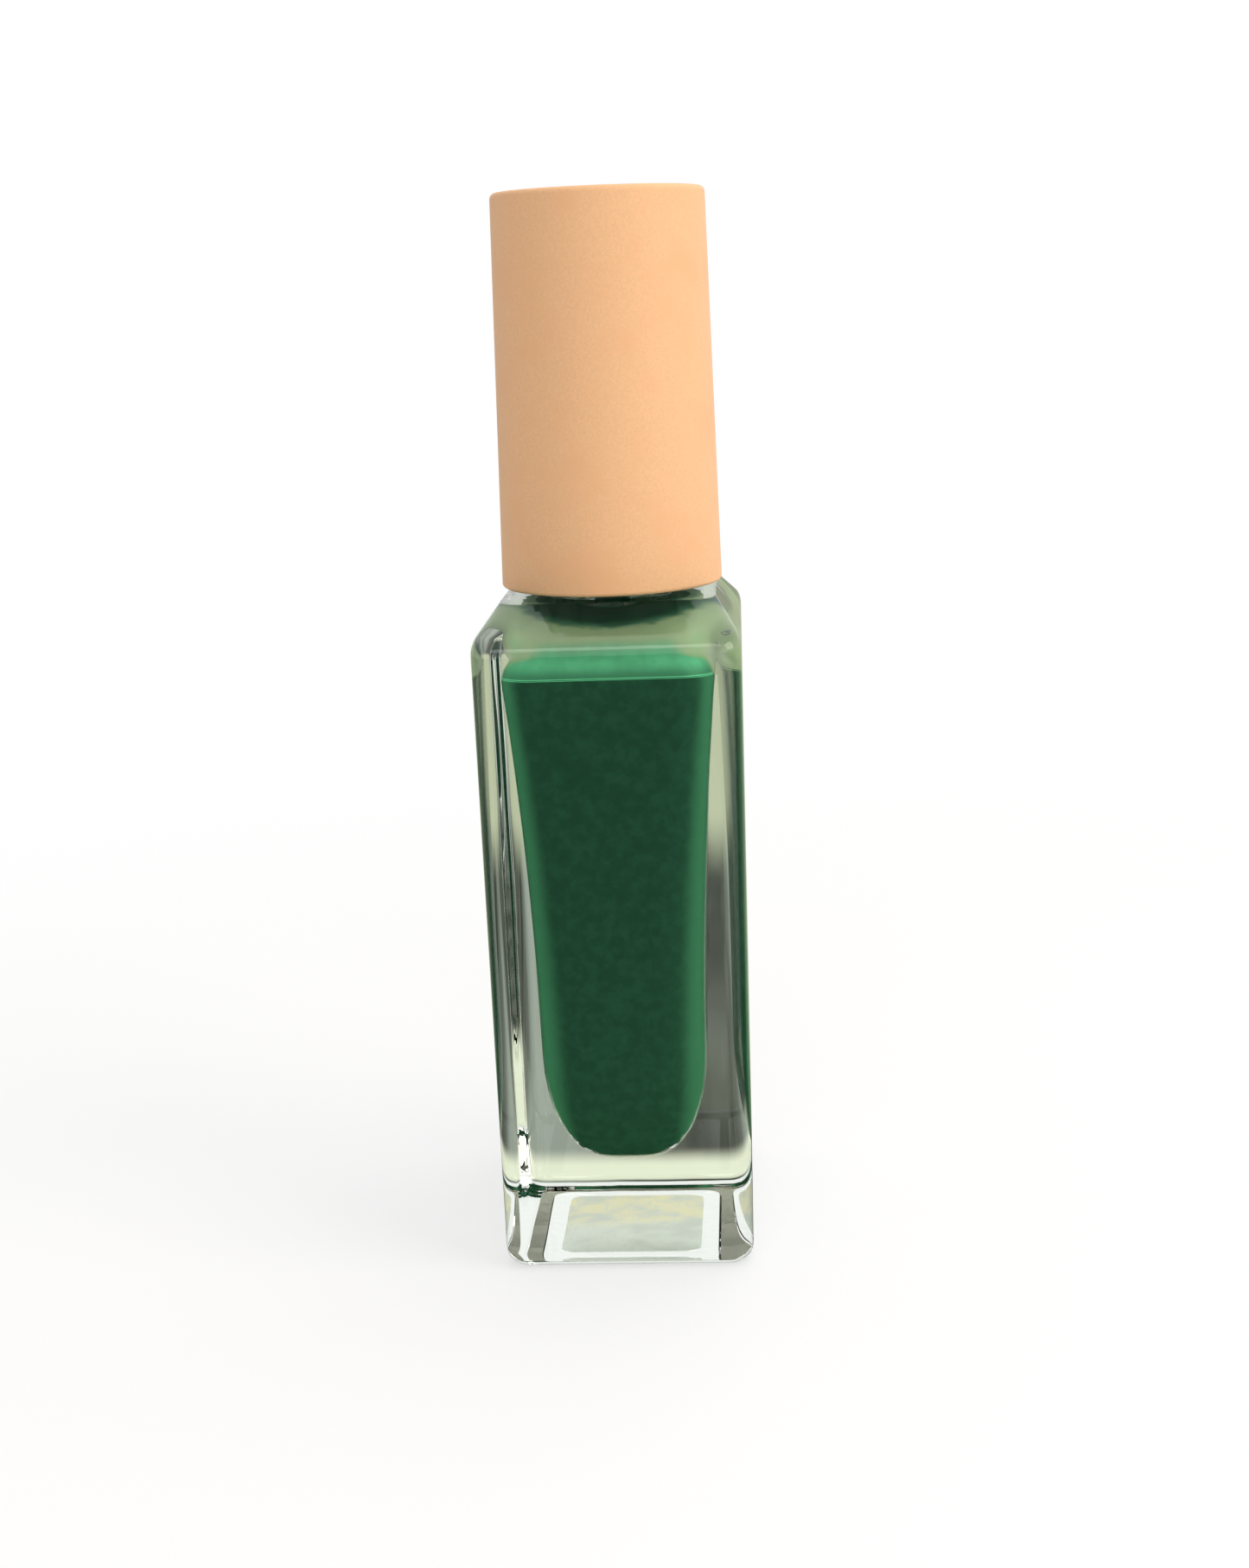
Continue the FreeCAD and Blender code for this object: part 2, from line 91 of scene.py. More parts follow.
def colour(name, description, hex_colour):
    return FloatVectorProperty(name=name, description=description, default=linear(hex_colour),
                               subtype="COLOR", size=3, min=0, max=1)


class GlassSizes(bpy.types.PropertyGroup):
    base_width: length("Base width", "Width of the foot, side to side", 22.4)
    base_depth: length("Base depth", "Depth of the foot, front to back", 28.8)
    corner: length("Corner radius", "Radius of the upright corners", 2.0)
    heel: length("Heel radius", "Rounding between foot and walls", 1.7)
    shoulder_start: length("Shoulder start", "Height where wall and shoulder would meet in an edge", 56.7)
    shoulder_rise: length("Shoulder rise", "Height of the shoulder's slopes", 2.8)
    shoulder_width_inset: length("Shoulder width inset", "How far the slopes at the sides go in", 2.1)
    shoulder_depth_inset: length("Shoulder depth inset", "How far the slopes at front and back go in", 5.2)
    shoulder_corner: length("Shoulder corner", "Corner radius at the top of the slopes", 2.5)
    edge_drop: length("Edge drop", "How far below that edge its rounding starts", 1.0)
    edge_lift: length("Edge lift", "How far above that edge its rounding ends", 0.6)
    recess_width: length("Recess width", "Width of the hollow under the base", 16.2)
    recess_depth: length("Recess depth", "Depth of that hollow, front to back", 22.6)
    recess_corner: length("Recess corner", "Corner radius of that hollow", 1.6)
    recess_height: length("Recess height", "How far that hollow goes up", 0.35)
    neck_radius: length("Neck radius", "Radius of the neck without its thread", 5.7)
    bore_radius: length("Bore radius", "Radius of the hole in the neck", 3.4)
    thread_pitch: length("Thread pitch", "Rise of the thread in one turn", 2.12)
    thread_start: length("Thread start", "Height of the middle of the thread's lower end", 63.1)
    thread_height: length("Thread height", "How far the thread stands out", 0.58)
    thread_root: length("Thread root", "Width of the thread where it leaves the neck", 1.3)
    thread_crest: length("Thread crest", "Width of the thread's flat crest", 0.5)
    neck_rim: length("Neck rim", "Rounding of the neck's outer rim", 0.4)
    neck_root: length("Neck root", "Rounding where the neck meets the shoulder", 0.5)
    bore_lip: length("Bore lip", "Rounding of the bore's upper edge", 0.3)


class CavitySizes(bpy.types.PropertyGroup):
    floor: length("Floor", "Height of the cavity's lowest point", 8.0)
    floor_rise: length("Floor rise", "Height of the rounded floor", 10.8)
    floor_width: length("Floor width", "Width where the floor meets the walls", 14.7)
    floor_depth: length("Floor depth", "Depth where the floor meets the walls", 21.1)
    floor_width_inset: length("Floor width inset", "How far the floor narrows from the sides", 5.6)
    floor_depth_inset: length("Floor depth inset", "How far it narrows from the front and back", 7.8)
    floor_corner: length("Floor corner", "Corner radius there", 4.8)
    middle: length("Middle height", "Height of the middle section", 36.0)
    middle_width: length("Middle width", "Width of the middle section", 15.6)
    middle_depth: length("Middle depth", "Depth of the middle section", 22.0)
    middle_corner: length("Middle corner", "Corner radius there", 3.9)
    roof: length("Roof", "Height of the cavity's flat top", 55.5)
    roof_radius: length("Roof radius", "Rounding between walls and roof", 2.3)
    roof_width: length("Roof width", "Width where the roof meets the walls", 18.0)
    roof_depth: length("Roof depth", "Depth where the roof meets the walls", 24.4)
    roof_corner: length("Roof corner", "Corner radius there", 3.0)


class LacquerSizes(bpy.types.PropertyGroup):
    fill_level: length("Fill level", "Height of the liquid", 53.6)
    wetting: length("Wetting", "How far the liquid's skin lies in the glass, so that no air shows", 0.04)
    film: length("Film", "Thickness of the coat above the liquid", 0.14)
    meniscus: length("Meniscus", "How far the liquid climbs the wall", 0.3)


class LabelSizes(bpy.types.PropertyGroup):
    width: length("Label width", "Width of the label under the base", 12.8)
    depth: length("Label depth", "Depth of that label, front to back", 19.2)
    corner: length("Label corner", "Corner radius of that label", 1.6)
    thickness: length("Label thickness", "Thickness of that label", 0.12)
    bond: length("Bond", "How far its face lies in the glass, so that no air shows", 0.02)


class CapSizes(bpy.types.PropertyGroup):
    rim_radius: length("Rim radius", "Outer radius at the open end", 9.7)
    top_radius: length("Top radius", "Outer radius at the closed end", 9.05)
    bore: length("Bore", "Inner radius around the inner cap", 8.5)
    upper_bore: length("Upper bore", "Inner radius above the inner cap", 7.55)
    step: length("Step", "Height of the step between the bores", 73.55)
    roof: length("Roof", "Height of the inner face of the top", 91.45)
    top_edge: length("Top edge", "Rounding of the top edge", 0.5)
    rim_edge: length("Rim edge", "Rounding of the open end", 0.3)


class BrushSizes(bpy.types.PropertyGroup):
    tuft_radius: length("Tuft radius", "Radius of the tuft where it leaves the rod", 1.02)
    belly_radius: length("Belly radius", "Radius of the tuft where it is widest", 1.36)
    tip_radius: length("Tip radius", "Radius of the tuft at its tip", 0.72)
    belly: length("Belly", "Height where the tuft is widest", 18.08)
    rod_end: length("Rod end", "Height of the rod's lower end", 27.08)
    hair_radius: length("Hair radius", "Radius of one filament", 0.06)
    hairs: IntProperty(name="Hairs", description="Number of filaments", default=210, min=20, max=400)


class Finishes(bpy.types.PropertyGroup):
    glass: colour("Glass", "Tint of the clear glass", "#f6fbf5")
    lacquer: colour("Lacquer", "Colour of the lacquer in bulk", "#2c5a43")
    # Painted light: the liquid's upright corners are drawn lighter, as where side light falls on them.
    lacquer_lit_corner: colour("Lacquer corner", "Colour of the liquid round its upright corners", "#4c936a")
    # Painted highlight: the liquid's downward-facing foot is drawn nearly white, standing in for the bright
    # base it mirrors.
    lacquer_foot_highlight: colour("Lacquer foot", "Colour of the liquid's foot, above the thick base", "#e6f0e0")
    lacquer_film: colour("Lacquer film", "Colour of the thin coat above the liquid", "#5ab584")
    # Painted light and a painted reflection of the cap: the coat under the shoulder and its side-facing curves
    # are drawn olive.
    roof_film_lit: colour("Roof film", "Colour of that coat under the shoulder", "#9cb487")
    # Painted shade: the coat round the bore is drawn dark green, as in the cap's shadow.
    roof_shade: colour("Roof shade", "Colour of that coat round the bore", "#083f26")
    cap: colour("Cap", "Colour of the soft-touch cap", "#efbb8b")
    inner_cap: colour("Inner cap", "Colour of the moulded inner cap", "#f1f0ea")
    stem: colour("Stem", "Colour of the brush rod", "#141416")
    steel: colour("Steel", "Colour of the mixing balls", "#c2c4c6")
    staple: colour("Staple", "Colour of the staple", "#c9a35a")
    label: colour("Label", "Colour of the label's face", "#eef3ea")
    label_aged: colour("Label aged", "Colour of the label's yellowed half", "#f8f2cd")
    floor: colour("Floor", "Colour of the table", "#f7f7f6")


class NailPolishBottle(bpy.types.PropertyGroup):
    glass: PointerProperty(type=GlassSizes, name="Glass", description="Sizes of the glass")
    cavity: PointerProperty(type=CavitySizes, name="Cavity", description="Sizes of the hollow in the glass")
    lacquer: PointerProperty(type=LacquerSizes, name="Lacquer", description="Sizes of the liquid")
    label: PointerProperty(type=LabelSizes, name="Label", description="Sizes of the base label")
    cap: PointerProperty(type=CapSizes, name="Cap", description="Sizes of the outer cap")
    brush: PointerProperty(type=BrushSizes, name="Brush", description="Sizes of the brush")
    finishes: PointerProperty(type=Finishes, name="Finishes", description="Colours")


def settings():
    return bpy.context.scene.nail_polish_bottle


# Modelling

def pick_nothing():
    if bpy.context.object and bpy.context.object.mode != "OBJECT":
        bpy.ops.object.mode_set(mode="OBJECT")
    bpy.ops.object.select_all(action="DESELECT")


def name_piece(name):
    piece = bpy.context.object
    piece.name = name
    piece.data.name = name
    return piece


def picked(mesh):
    """The picked vertices of an edit mesh, in order of their angle about the upright axis."""
    found = [v for v in mesh.verts if v.select]
    full = 2 * math.pi
    return sorted(found, key=lambda v: (math.atan2(v.co.y, v.co.x) + 1e-4) % full)


def rim_size(piece):
    """Width, depth and height of the picked rim."""
    mesh = bmesh.from_edit_mesh(piece.data)
    ring = picked(mesh)
    width, depth = (max(v.co[axis] for v in ring) - min(v.co[axis] for v in ring) for axis in (0, 1))
    return width, depth, ring[0].co.z


def rounded_rectangle(index, width, depth, corner):
    """Where a ring's vertex lies on a round-cornered rectangle. The sides' steps crowd towards the corners."""
    quarter, step = divmod(index + SIDE_STEPS // 2, ARC_STEPS + SIDE_STEPS)
    ahead, along = (width / 2, depth / 2) if quarter % 2 == 0 else (depth / 2, width / 2)
    if step <= SIDE_STEPS:
        x, y = ahead, (corner - along) * math.cos(math.pi * step / SIDE_STEPS)
    else:
        angle = math.pi / 2 * (step - SIDE_STEPS) / ARC_STEPS
        x, y = ahead - corner + corner * math.cos(angle), along - corner + corner * math.sin(angle)
    for _ in range(quarter % 4):
        x, y = -y, x
    return x, y


def settle(piece, width, depth, corner):
    """Scaling a ring scales its corners too, so each corner gets its own radius here."""
    mesh = bmesh.from_edit_mesh(piece.data)
    for index, vertex in enumerate(picked(mesh)):
        if corner < width / 2:
            vertex.co.x, vertex.co.y = rounded_rectangle(index, width, depth, corner)
        else:
            angle = 2 * math.pi * index / RING_STEPS
            vertex.co.x, vertex.co.y = width / 2 * math.cos(angle), depth / 2 * math.sin(angle)
    bmesh.update_edit_mesh(piece.data)


def draw_rim(piece, height, width, depth=None, corner=None):
    """Extrude the picked rim to the next level and size it, and round its corners if a radius is given."""
    old_width, old_depth, old_height = rim_size(piece)
    bpy.ops.mesh.extrude_edges_indiv()
    bpy.ops.transform.translate(value=(0, 0, height - old_height))
    across = width / old_width
    through = depth / old_depth if depth else across
    bpy.ops.transform.resize(value=(across, through, 1), center_override=(0, 0, height))
    if corner is not None:
        settle(piece, width, depth, corner)


def start_rectangle(name, height, width, depth, corner):
    """A rim of a rounded rectangle, ready in edit mode: a plane, its corners bevelled, its sides subdivided."""
    pick_nothing()
    bpy.ops.mesh.primitive_plane_add(size=width, location=(0, 0, height))
    piece = name_piece(name)
    bpy.ops.object.transform_apply(location=True, rotation=True, scale=True)
    bpy.ops.object.mode_set(mode="EDIT")
    bpy.ops.mesh.select_mode(type="VERT")
    bpy.ops.mesh.select_all(action="SELECT")
    bpy.ops.transform.resize(value=(1, depth / width, 1), center_override=(0, 0, height))
    bpy.ops.mesh.bevel(offset=corner, segments=ARC_STEPS, affect="VERTICES", clamp_overlap=False)
    bpy.ops.mesh.select_mode(type="EDGE")
    bpy.ops.mesh.select_all(action="DESELECT")
    mesh = bmesh.from_edit_mesh(piece.data)
    for edge in mesh.edges:
        way = (edge.verts[1].co - edge.verts[0].co).normalized()
        edge.select_set(max(abs(way.x), abs(way.y)) > 0.9999)
    bmesh.update_edit_mesh(piece.data)
    bpy.ops.mesh.subdivide(number_cuts=SIDE_STEPS - 1)
    bpy.ops.mesh.select_all(action="SELECT")
    bpy.ops.mesh.delete(type="ONLY_FACE")
    bpy.ops.mesh.select_all(action="SELECT")
    mesh = bmesh.from_edit_mesh(piece.data)
    if len(picked(mesh)) != RING_STEPS:
        raise RuntimeError(f"{name}: the first rim has {len(picked(mesh))} vertices, not {RING_STEPS}")
    settle(piece, width, depth, corner)
    return piece


def start_circle(name, radius, height, sides):
    """A rim of a circle, ready in edit mode."""
    pick_nothing()
    bpy.ops.mesh.primitive_circle_add(vertices=sides, radius=radius, location=(0, 0, height))
    piece = name_piece(name)
    bpy.ops.object.transform_apply(location=True, rotation=True, scale=True)
    bpy.ops.object.mode_set(mode="EDIT")
    bpy.ops.mesh.select_mode(type="EDGE")
    bpy.ops.mesh.select_all(action="SELECT")
    return piece


def close_ends():
    """Fill the last rim, then the first, and turn every face outwards."""
    bpy.ops.mesh.edge_face_add()
    bpy.ops.mesh.select_all(action="DESELECT")
    bpy.ops.mesh.select_non_manifold()
    bpy.ops.mesh.edge_face_add()
    bpy.ops.mesh.select_all(action="SELECT")
    bpy.ops.mesh.normals_make_consistent(inside=False)
    bpy.ops.mesh.select_all(action="DESELECT")
    bpy.ops.object.mode_set(mode="OBJECT")


def smooth(piece, angle=35):
    """Smooth shading in which broad flat faces keep their flatness."""
    pick_nothing()
    piece.select_set(True)
    bpy.context.view_layer.objects.active = piece
    bpy.ops.object.shade_smooth_by_angle(angle=math.radians(angle))
    bpy.ops.object.modifier_add(type="WEIGHTED_NORMAL")
    piece.modifiers[-1].keep_sharp = True
    bpy.ops.object.modifier_apply(modifier=piece.modifiers[-1].name)


def quarter_turn(steps):
    """Angles from 0 to a right angle, both ends included."""
    return [math.pi / 2 * step / steps for step in range(steps + 1)]


def between(first, second, share):
    """A size part of the way from one to another."""
    return tuple(low + (high - low) * share for low, high in zip(first, second))


def dome_levels(size, start, rise, insets):
    """Levels of a wall that turns in along a quarter ellipse, from its first step to its flat end."""
    width, depth, corner = size
    levels = []
    for angle in quarter_turn(DOME_STEPS)[1:]:
        across, through = (inset * (1 - math.cos(angle)) for inset in insets)
        narrowed = width - 2 * across
        height = start + rise * math.sin(angle)
        levels.append((height, narrowed, depth - 2 * through, corner * narrowed / width))
    return levels


def shoulder_levels(g, body):
    """Levels from the top of the wall, round the soft edge and up the straight slopes."""
    steps = []
    for index in range(EDGE_STEPS + 1):
        done = (index / EDGE_STEPS) ** 2
        left = (1 - index / EDGE_STEPS) ** 2
        steps.append((g.shoulder_start - g.edge_drop * left + g.edge_lift * done,
                      g.edge_lift / g.shoulder_rise * done))
    for share in (0.6, 0.97, 1.0):
        steps.append((g.shoulder_start + g.shoulder_rise * share, share))
    return [(height, body[0] - 2 * g.shoulder_width_inset * share, body[1] - 2 * g.shoulder_depth_inset * share,
             g.corner + (g.shoulder_corner - g.corner) * share) for height, share in steps]


def cavity_wall(height, grow=0.0):
    """Width, depth and corner radius of the cavity at a height, on a curve through its three sections."""
    c = settings().cavity
    heights = (c.floor + c.floor_rise, c.middle, c.roof - c.roof_radius)
    sections = ((c.floor_width, c.middle_width, c.roof_width), (c.floor_depth, c.middle_depth, c.roof_depth),
                (c.floor_corner, c.middle_corner, c.roof_corner))
    shares = []
    for i in range(3):
        j, k = [n for n in range(3) if n != i]
        shares.append((height - heights[j]) * (height - heights[k])
                      / ((heights[i] - heights[j]) * (heights[i] - heights[k])))
    width, depth, corner = (sum(share * size for share, size in zip(shares, sizes)) for sizes in sections)
    return width + 2 * grow, depth + 2 * grow, corner + grow


def cavity_levels(top, grow=0.0):
    """Levels of the cavity from just above its lowest point up to a height."""
    c = settings().cavity
    start = c.floor + c.floor_rise
    size = cavity_wall(start, grow)
    floor = dome_levels(size, start, -(c.floor_rise + grow), (c.floor_width_inset, c.floor_depth_inset))
    levels = list(reversed(floor)) + [(start, *size)]
    end = min(top, c.roof - c.roof_radius)
    for index in range(1, WALL_STEPS + 1):
        height = start + (end - start) * index / WALL_STEPS
        levels.append((height, *cavity_wall(height, grow)))
    return levels


def roof_levels(grow=0.0):
    c = settings().cavity
    start = c.roof - c.roof_radius
    return dome_levels(cavity_wall(start, grow), start, c.roof_radius + grow, (c.roof_radius, c.roof_radius))


def cavity_ring(height, grow=0.0):
    """Width, depth and corner radius of the cavity at a height, in the roof's rounding too."""
    c = settings().cavity
    start = c.roof - c.roof_radius
    width, depth, corner = cavity_wall(min(height, start), grow)
    inset = c.roof_radius * (1 - math.sqrt(1 - (max(0.0, height - start) / (c.roof_radius + grow)) ** 2))
    return width - 2 * inset, depth - 2 * inset, corner * (width - 2 * inset) / width


def bore_edge(grow=0.0):
    """Levels from the cavity's roof round the edge of the neck's bore, as radii of circles."""
    c = settings().cavity
    g = settings().glass
    edge = BORE_EDGE - grow
    levels = []
    for angle in quarter_turn(BORE_STEPS):
        height = c.roof + BORE_EDGE - edge * math.cos(angle)
        levels.append((height, g.bore_radius + BORE_EDGE - edge * math.sin(angle)))
    return levels


def thread_bulge(angle, height):
    """The thread's share of its full height there: it stands in turns that fade in and out at their ends."""
    g = settings().glass
    full = 2 * math.pi
    length_turned = THREAD_TURNS * full
    best = 0.0
    for turn in range(math.ceil(THREAD_TURNS)):
        travelled = angle + full * turn
        if travelled > length_turned:
            continue
        off = abs(height - g.thread_start - g.thread_pitch * travelled / full)
        flank = (g.thread_root / 2 - off) / ((g.thread_root - g.thread_crest) / 2)
        ends = min(travelled, length_turned - travelled) / THREAD_FADE
        best = max(best, min(1.0, max(0.0, flank)) * min(1.0, ends))
    return best


# Materials

def add_node(tree, kind, inputs=None, **options):
    """One node with its options. Each input is a plain value or the socket that feeds it."""
    node = tree.nodes.new(kind)
    for option, choice in options.items():
        setattr(node, option, choice)
    for name, source in (inputs or {}).items():
        socket = node.inputs[name]
        if isinstance(source, bpy.types.NodeSocket):
            tree.links.new(source, socket)
        elif socket.type == "RGBA":
            socket.default_value = (*source, 1)
        else:
            socket.default_value = source
    return node


def start_material(name):
    material = bpy.data.materials.new(name)
    material.use_nodes = True
    material.node_tree.nodes.clear()
    return material, material.node_tree


def finish_material(material, **inputs):
    """Close a material with one Principled shader. Plain values stand on the shader's own sockets."""
    tree = material.node_tree
    named = {name.replace("_", " "): source for name, source in inputs.items()}
    shader = add_node(tree, "ShaderNodeBsdfPrincipled", named)
    add_node(tree, "ShaderNodeOutputMaterial", {"Surface": shader.outputs[0]})
    return material


def grain(tree, size, stretch=(1, 1, 1), detail=2.0, roughness=0.5):
    """Noise whose grains are about that many millimetres wide, on the piece's own coordinates."""
    place = add_node(tree, "ShaderNodeTexCoord").outputs["Object"]
    turned = add_node(tree, "ShaderNodeMapping", {"Vector": place, "Scale": stretch}).outputs[0]
    return add_node(tree, "ShaderNodeTexNoise", {"Vector": turned, "Scale": 1 / (size * MM), "Detail": detail,
                                                 "Roughness": roughness}).outputs[0]


def place_along(tree, axis):
    """How far a point lies along one axis of the piece's own coordinates."""
    place = add_node(tree, "ShaderNodeTexCoord").outputs["Object"]
    return add_node(tree, "ShaderNodeSeparateXYZ", {"Vector": place}).outputs[axis]


def facing(tree, axis):
    """How far the surface faces along one axis, either way."""
    normal = add_node(tree, "ShaderNodeNewGeometry").outputs["Normal"]
    part = add_node(tree, "ShaderNodeSeparateXYZ", {"Vector": normal}).outputs[axis]
    return add_node(tree, "ShaderNodeMath", {0: part}, operation="ABSOLUTE").outputs[0]


def past(tree, *limits):
    """1 where each source is past its second limit, 0 where one isn't past its first, and smooth between."""
    share = None
    for source, first, second in limits:
        rise = add_node(tree, "ShaderNodeMapRange", {"Value": source, "From Min": first, "From Max": second},
                        interpolation_type="SMOOTHSTEP").outputs[0]
        if share is None:
            share = rise
        else:
            share = add_node(tree, "ShaderNodeMath", {0: share, 1: rise}, operation="MULTIPLY").outputs[0]
    return share


def grade(tree, before, after, *limits):
    """One colour that turns into another where each source is past its limits."""
    return add_node(tree, "ShaderNodeMix", {"Factor": past(tree, *limits), 6: before, 7: after},
                    data_type="RGBA").outputs[2]


def toned(colour_value, share):
    """A colour made darker by a share below 1 or lighter by one above it."""
    return tuple(channel * share for channel in colour_value)


def soda_lime_glass(f):
    """Soda-lime glass, blown into a mould: clear, with slow upright waves where it cooled."""
    material, tree = start_material("soda_lime_glass")
    waves = grain(tree, 2.6, stretch=(1, 1, 0.12), detail=1.0)
    relief = add_node(tree, "ShaderNodeBump", {"Height": waves, "Strength": 1.0, "Distance": 0.05 * MM})
    return finish_material(material, Base_Color=f.glass, Roughness=0.0, IOR=1.5, Transmission_Weight=1.0,
                           Normal=relief.outputs[0])


def creme_lacquer(f):
    """Nitrocellulose lacquer, opaque and wet against the glass: lighter round its upright corners in painted
    light, pale under its foot in a painted highlight, and glossy only where it is seen edge on."""
    material, tree = start_material("creme_lacquer")
    clouds = grain(tree, 1.1, detail=4.0, roughness=0.6)
    deep = grade(tree, toned(f.lacquer, 0.88), toned(f.lacquer, 1.12), (clouds, 0.35, 0.7))
    # Painted light: lighter green where the liquid rounds away to the sides at its upright corners.
    corners = grade(tree, deep, f.lacquer_lit_corner, (facing(tree, 0), 0.45, 0.9), (facing(tree, 1), 0.04, 0.2))
    # Painted highlight: the foot turns pale where the surface faces down.
    with_foot_highlight = grade(tree, corners, f.lacquer_foot_highlight, (facing(tree, 2), 0.84, 0.92))
    edge_on = add_node(tree, "ShaderNodeLayerWeight", {"Blend": 0.5}).outputs["Facing"]
    return finish_material(material, Base_Color=with_foot_highlight, Roughness=0.12, IOR=1.48,
                           Specular_IOR_Level=past(tree, (edge_on, 0.7, 0.95)))


def lacquer_film(f):
    """The same lacquer in a thin coat on the glass: light green on the walls; olive on the roof, in painted
    light and a painted reflection of the cap; and dark green round the bore, in painted shade where the cap
    keeps the light out."""
    material, tree = start_material("lacquer_film")
    fill = settings().lacquer.fill_level
    rim = settings().cap.rim_radius
    roof_front = settings().cavity.roof_depth / 2 - settings().cavity.roof_radius
    streaks = grain(tree, 1.2, stretch=(1, 1, 0.3), detail=3.0)
    height = place_along(tree, 2)
    coat = grade(tree, toned(f.lacquer_film, 0.9), toned(f.lacquer_film, 1.1), (streaks, 0.3, 0.75))
    # Darker towards the fill level and lighter higher up; the next step adds a lighter line right at the fill
    # level.
    darker_towards_fill = grade(tree, toned(f.lacquer_film, 0.55), coat, (height, fill + 0.1 * MM, fill + 1.3 * MM))
    wall = grade(tree, darker_towards_fill, toned(f.lacquer_film, 1.5), (height, fill + 0.12 * MM, fill + 0.04 * MM))
    place = add_node(tree, "ShaderNodeTexCoord").outputs["Object"]
    flat = add_node(tree, "ShaderNodeVectorMath", {0: place, 1: (1, 1, 0)}, operation="MULTIPLY").outputs[0]
    reach = add_node(tree, "ShaderNodeVectorMath", {0: flat}, operation="LENGTH").outputs["Value"]
    sway = {0: streaks, 1: 1.6 * MM, 2: reach}
    ragged = add_node(tree, "ShaderNodeMath", sway, operation="MULTIPLY_ADD").outputs[0]
    # Painted shade round the bore under the cap, then painted light and reflection in olive further out; the
    # noise only makes the edges ragged.
    shaded = grade(tree, f.roof_shade, toned(f.lacquer, 1.6), (ragged, rim - 2.1 * MM, rim - 0.7 * MM))
    lit = grade(tree, shaded, f.roof_film_lit, (ragged, rim - 1.1 * MM, rim + 0.2 * MM))
    depth = add_node(tree, "ShaderNodeMath", {0: place_along(tree, 1)}, operation="ABSOLUTE").outputs[0]
    roof = grade(tree, lit, wall, (depth, roof_front + 0.5 * MM, roof_front + MM))
    # Painted light: the coat's side-facing curves turn olive like the lit roof.
    curved = grade(tree, wall, f.roof_film_lit, (facing(tree, 0), 0.2, 0.5), (facing(tree, 1), 0.4, 0.1))
    whole = grade(tree, curved, roof, (facing(tree, 2), 0.75, 0.97))
    return finish_material(material, Base_Color=whole, Roughness=0.3, IOR=1.48, Specular_IOR_Level=0.1)


def soft_touch_coating(f):
    """Moulded ABS under a sprayed soft-touch rubber coat: matt and finely pebbled. The real grain is too fine
    to show, so it is drawn 0.22 mm wide."""
    material, tree = start_material("soft_touch_coating")
    speckle = grain(tree, 0.22)
    clouds = grain(tree, 4.0, detail=3.0)
    fine = grade(tree, toned(f.cap, 0.965), toned(f.cap, 1.03), (speckle, 0.3, 0.7))
    warmer = tuple(channel * share for channel, share in zip(f.cap, (1.0, 0.95, 0.93)))
    broad = grade(tree, fine, warmer, (clouds, 0.45, 0.75))
    relief = add_node(tree, "ShaderNodeBump", {"Height": speckle, "Strength": 0.6, "Distance": 0.02 * MM})
    return finish_material(material, Base_Color=broad, Roughness=0.62, IOR=1.5, Specular_IOR_Level=0.35,
                           Sheen_Weight=0.12, Sheen_Roughness=0.5, Normal=relief.outputs[0])


def white_polypropylene(f):
    """Injection-moulded polypropylene: waxy white, with faint marks of its flow."""
    material, tree = start_material("white_polypropylene")
    flow = grain(tree, 1.5, stretch=(1, 1, 0.4))
    waxy = grade(tree, toned(f.inner_cap, 0.95), f.inner_cap, (flow, 0.3, 0.7))
    relief = add_node(tree, "ShaderNodeBump", {"Height": flow, "Strength": 1.0, "Distance": 0.01 * MM})
    return finish_material(material, Base_Color=waxy, Roughness=0.42, IOR=1.49, Normal=relief.outputs[0])


def dry_above(tree, marks, depth, low, high):
    """0 where a piece is wet, 1 where it is dry, with an edge as uneven as its marks."""
    edge = {0: marks, 1: depth, 2: place_along(tree, 2)}
    uneven = add_node(tree, "ShaderNodeMath", edge, operation="MULTIPLY_ADD").outputs[0]
    return past(tree, (uneven, low, high))


def lacquered_polyethylene(f):
    """Extruded black polyethylene rod, wet with lacquer below the neck in an uneven edge."""
    material, tree = start_material("lacquered_polyethylene")
    edge = grain(tree, 1.4, stretch=(1, 1, 0.5), detail=3.0)
    dry = dry_above(tree, edge, 6 * MM, 59.6 * MM, 60.3 * MM)
    wet = grade(tree, toned(f.lacquer, 1.25), toned(f.lacquer_film, 0.55), (edge, 0.35, 0.65))
    rod = add_node(tree, "ShaderNodeMix", {"Factor": dry, 6: wet, 7: f.stem}, data_type="RGBA").outputs[2]
    rough = add_node(tree, "ShaderNodeMapRange", {"Value": dry, "To Min": 0.12, "To Max": 0.4})
    relief = add_node(tree, "ShaderNodeBump", {"Height": edge, "Strength": 0.5, "Distance": 0.05 * MM})
    return finish_material(material, Base_Color=rod, Roughness=rough.outputs[0], IOR=1.5,
                           Normal=relief.outputs[0])


def wet_nylon(f):
    """Nylon filaments, drawn and trimmed: black at the root, loaded with lacquer towards the tip."""
    material, tree = start_material("wet_nylon")
    strands = grain(tree, 0.25, stretch=(1, 1, 0.06))
    bare = dry_above(tree, strands, 4 * MM, 26.2 * MM, 30.5 * MM)
    wet = grade(tree, toned(f.lacquer, 1.1), toned(f.lacquer_film, 0.7), (strands, 0.35, 0.7))
    root = toned(f.stem, 1.2)
    hair = add_node(tree, "ShaderNodeMix", {"Factor": bare, 6: wet, 7: root}, data_type="RGBA").outputs[2]
    return finish_material(material, Base_Color=hair, Roughness=0.22, IOR=1.53)


